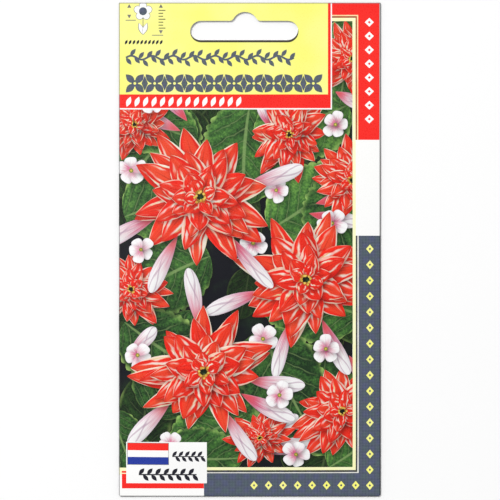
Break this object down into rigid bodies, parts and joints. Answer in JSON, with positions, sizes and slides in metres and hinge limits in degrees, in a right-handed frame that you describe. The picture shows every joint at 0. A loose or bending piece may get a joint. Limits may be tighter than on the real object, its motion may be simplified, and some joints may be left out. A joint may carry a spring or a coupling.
{
  "type": "seed packet",
  "caption": "Flat paper packet for garden seeds, folded from one printed sheet and glued shut, with a wide hang slot through its header.",
  "frame": {"origin": "centre of the packet's footprint, on the surface that it lies on", "axes": "+X to the right of the printed front, +Y towards the header with the hang slot, +Z out of the printed front"},
  "size_m": [0.0796, 0.15, 0.0026],
  "materials": {
    "printed_paper": "satin",
    "glue": "satin",
    "seed_coat": "matte"
  },
  "bodies": {
    "root": {"packet_sheet": "printed_paper", "side_seam_glue": "glue", "bottom_flap_glue": "glue", "top_seam_glue": "glue", "seed_01": "seed_coat", "seed_02": "seed_coat", "seed_03": "seed_coat", "seed_04": "seed_coat", "seed_05": "seed_coat", "seed_06": "seed_coat", "seed_07": "seed_coat", "seed_08": "seed_coat", "seed_09": "seed_coat", "seed_10": "seed_coat"}
  },
  "joints": []
}
